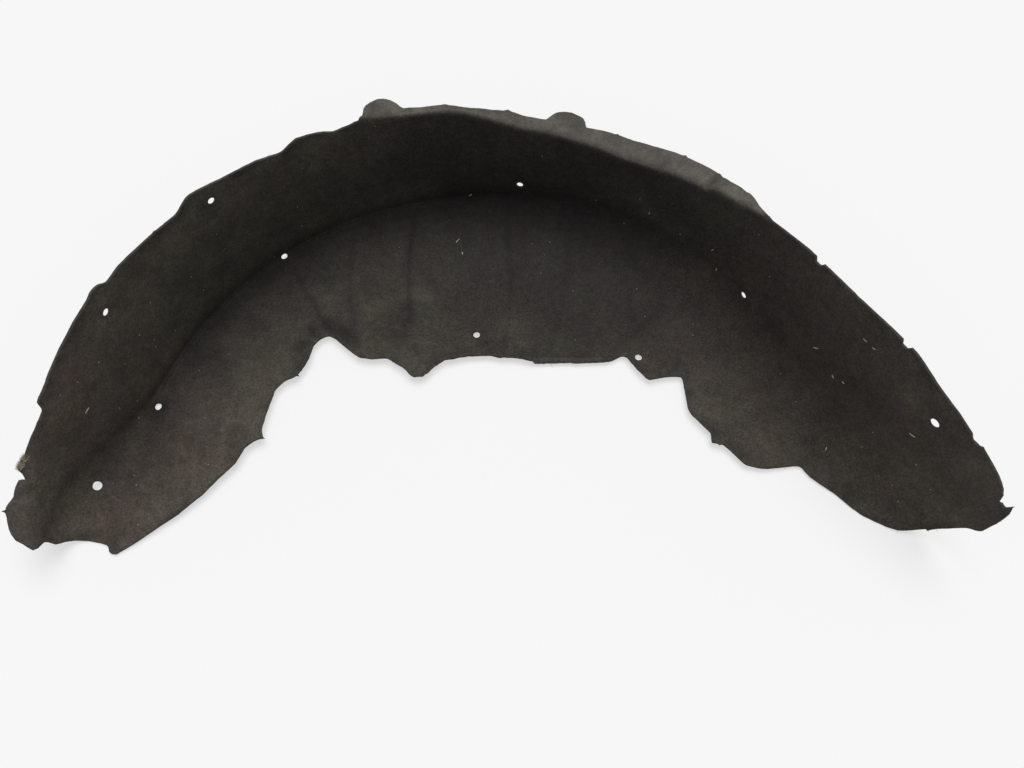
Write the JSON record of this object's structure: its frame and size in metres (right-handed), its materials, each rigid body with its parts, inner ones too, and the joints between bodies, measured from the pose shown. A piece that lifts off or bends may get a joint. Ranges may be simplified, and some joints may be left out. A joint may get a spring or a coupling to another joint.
{
  "type": "wheel arch liner",
  "caption": "Moulded felt wheel arch liner: an arched barrel wall on a flat inboard wall, with a lip flange, clip tabs, an open inner cut-out and clip holes, lying on its inboard wall.",
  "frame": {"origin": "middle of the bottom of the part's box as it lies on its inboard wall", "axes": "+X along the span from the spread foot to the straight leg, +Y from the open side towards the crown, +Z along the wheel axis towards the outboard lip"},
  "size_m": [0.9738, 0.4894, 0.1756],
  "materials": {
    "felt": "matte, needle-punched charcoal felt with road dust"
  },
  "bodies": {
    "root": {"wheel_arch_liner": "felt"}
  },
  "joints": []
}
